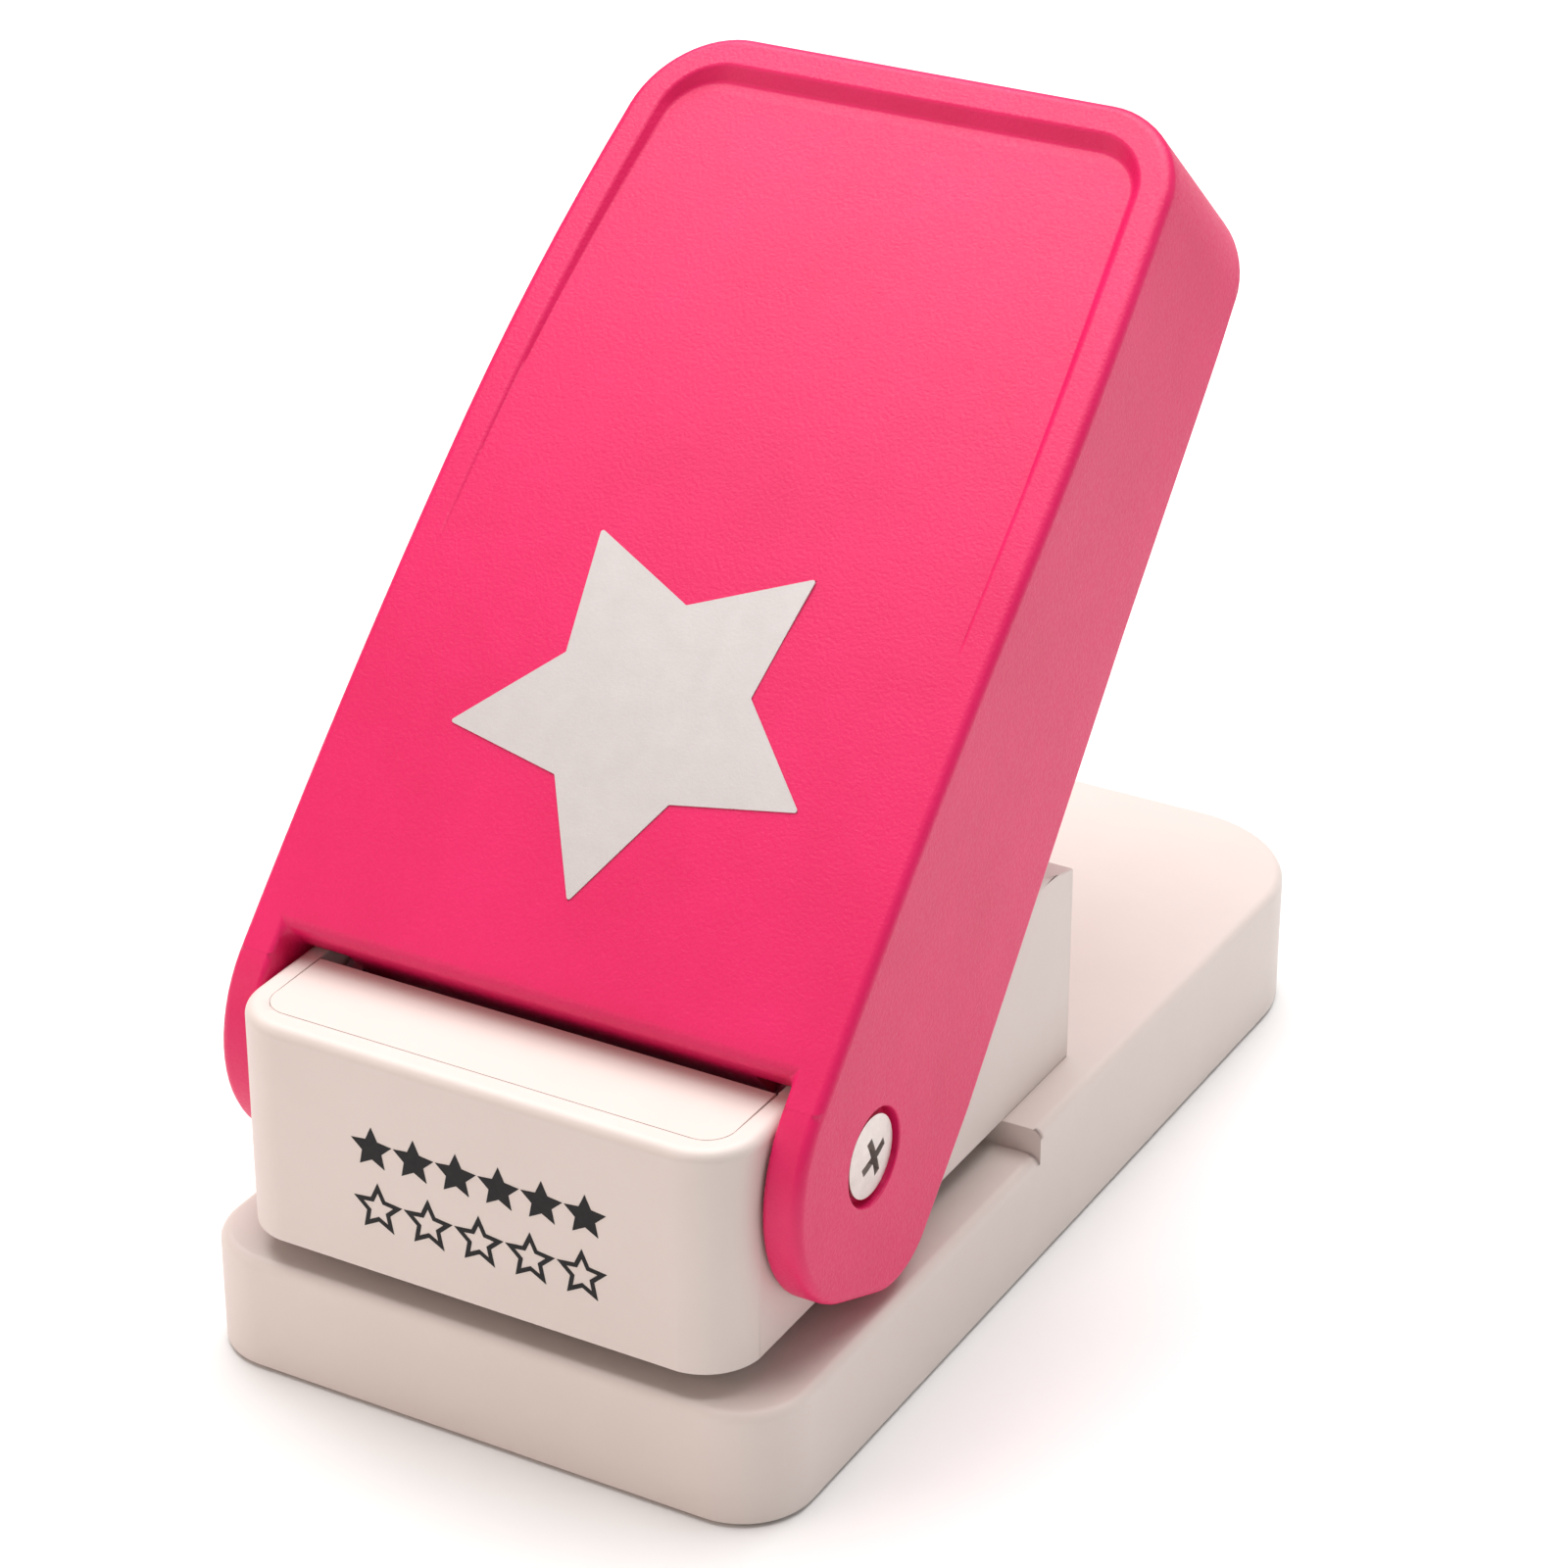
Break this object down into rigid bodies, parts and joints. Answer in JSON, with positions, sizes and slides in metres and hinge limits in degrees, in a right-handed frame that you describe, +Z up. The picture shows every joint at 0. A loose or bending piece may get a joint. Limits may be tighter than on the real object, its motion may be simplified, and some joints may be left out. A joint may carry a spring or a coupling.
{
  "type": "lever craft punch",
  "caption": "Table-top lever paper punch with a star die: a cream base and housing form a paper slot, and a pink sprung lever on a cross pivot drives the punch down.",
  "frame": {"origin": "middle of the base's footprint, at the surface the feet stand on", "axes": "+Z up, the front with the slot's mouth faces -Y, +X is the right side seen from the front; the lever's pivot runs along X"},
  "size_m": [0.066, 0.1264, 0.112],
  "materials": {
    "cream_plastic": "fine matt moulded surface",
    "pink_plastic": "fine-grained matt moulded surface with a slight sparkle",
    "silver_inlay": "fine-grained matt silver",
    "satin_nickel": "satin nickel plate",
    "tool_steel": "ground tool steel",
    "pressed_steel": "zinc-plated sheet steel",
    "ground_steel": "fine ground steel",
    "screw_steel": "zinc-plated screws",
    "spring_steel": "drawn spring wire",
    "carrier_alloy": "die-cast alloy, tumbled",
    "cam_acetal": "natural acetal",
    "bush_nylon": "black nylon",
    "foot_rubber": "grey rubber"
  },
  "bodies": {
    "base": {"base_shell": "cream_plastic", "bottom_cover": "cream_plastic", "rubber_feet": "foot_rubber", "cover_screws": "screw_steel", "die_plate": "tool_steel", "throat_spacer": "tool_steel", "guide_frame": "pressed_steel", "frame_screws": "screw_steel", "housing_shell": "cream_plastic", "housing_top_cap": "cream_plastic", "housing_screws": "screw_steel", "guide_pins": "ground_steel", "pivot_bush_left": "bush_nylon", "pivot_bush_right": "bush_nylon", "return_spring_front_left": "spring_steel", "return_spring_front_right": "spring_steel", "return_spring_rear_left": "spring_steel", "return_spring_rear_right": "spring_steel"},
    "lever": {"lever_shell": "pink_plastic", "lever_star_inlay": "silver_inlay", "pivot_shaft": "ground_steel", "pivot_screws": "satin_nickel", "press_cam": "cam_acetal", "cam_screws": "screw_steel"},
    "punch": {"star_punch": "tool_steel", "punch_carrier": "carrier_alloy", "wear_plate": "ground_steel", "punch_screws": "screw_steel"}
  },
  "joints": [
    {"name": "lever_hinge", "type": "hinge", "parent": "base", "child": "lever", "pos_m": [0, -0.0428, 0.0314], "axis": [-1, 0, 0], "range_deg": [0, 42], "stiffness_Nm_per_rad": 0.35, "springref_deg": -14.32},
    {"name": "punch_slide", "type": "slide", "parent": "base", "child": "punch", "axis": [0, 0, -1], "range_m": [0, 0.00535], "deforming": ["return_spring_front_left", "return_spring_front_right", "return_spring_rear_left", "return_spring_rear_right"]}
  ],
  "couplings": [
    {"joint": "punch_slide", "follows": "lever_hinge", "m_per_rad": 0.0072}
  ]
}
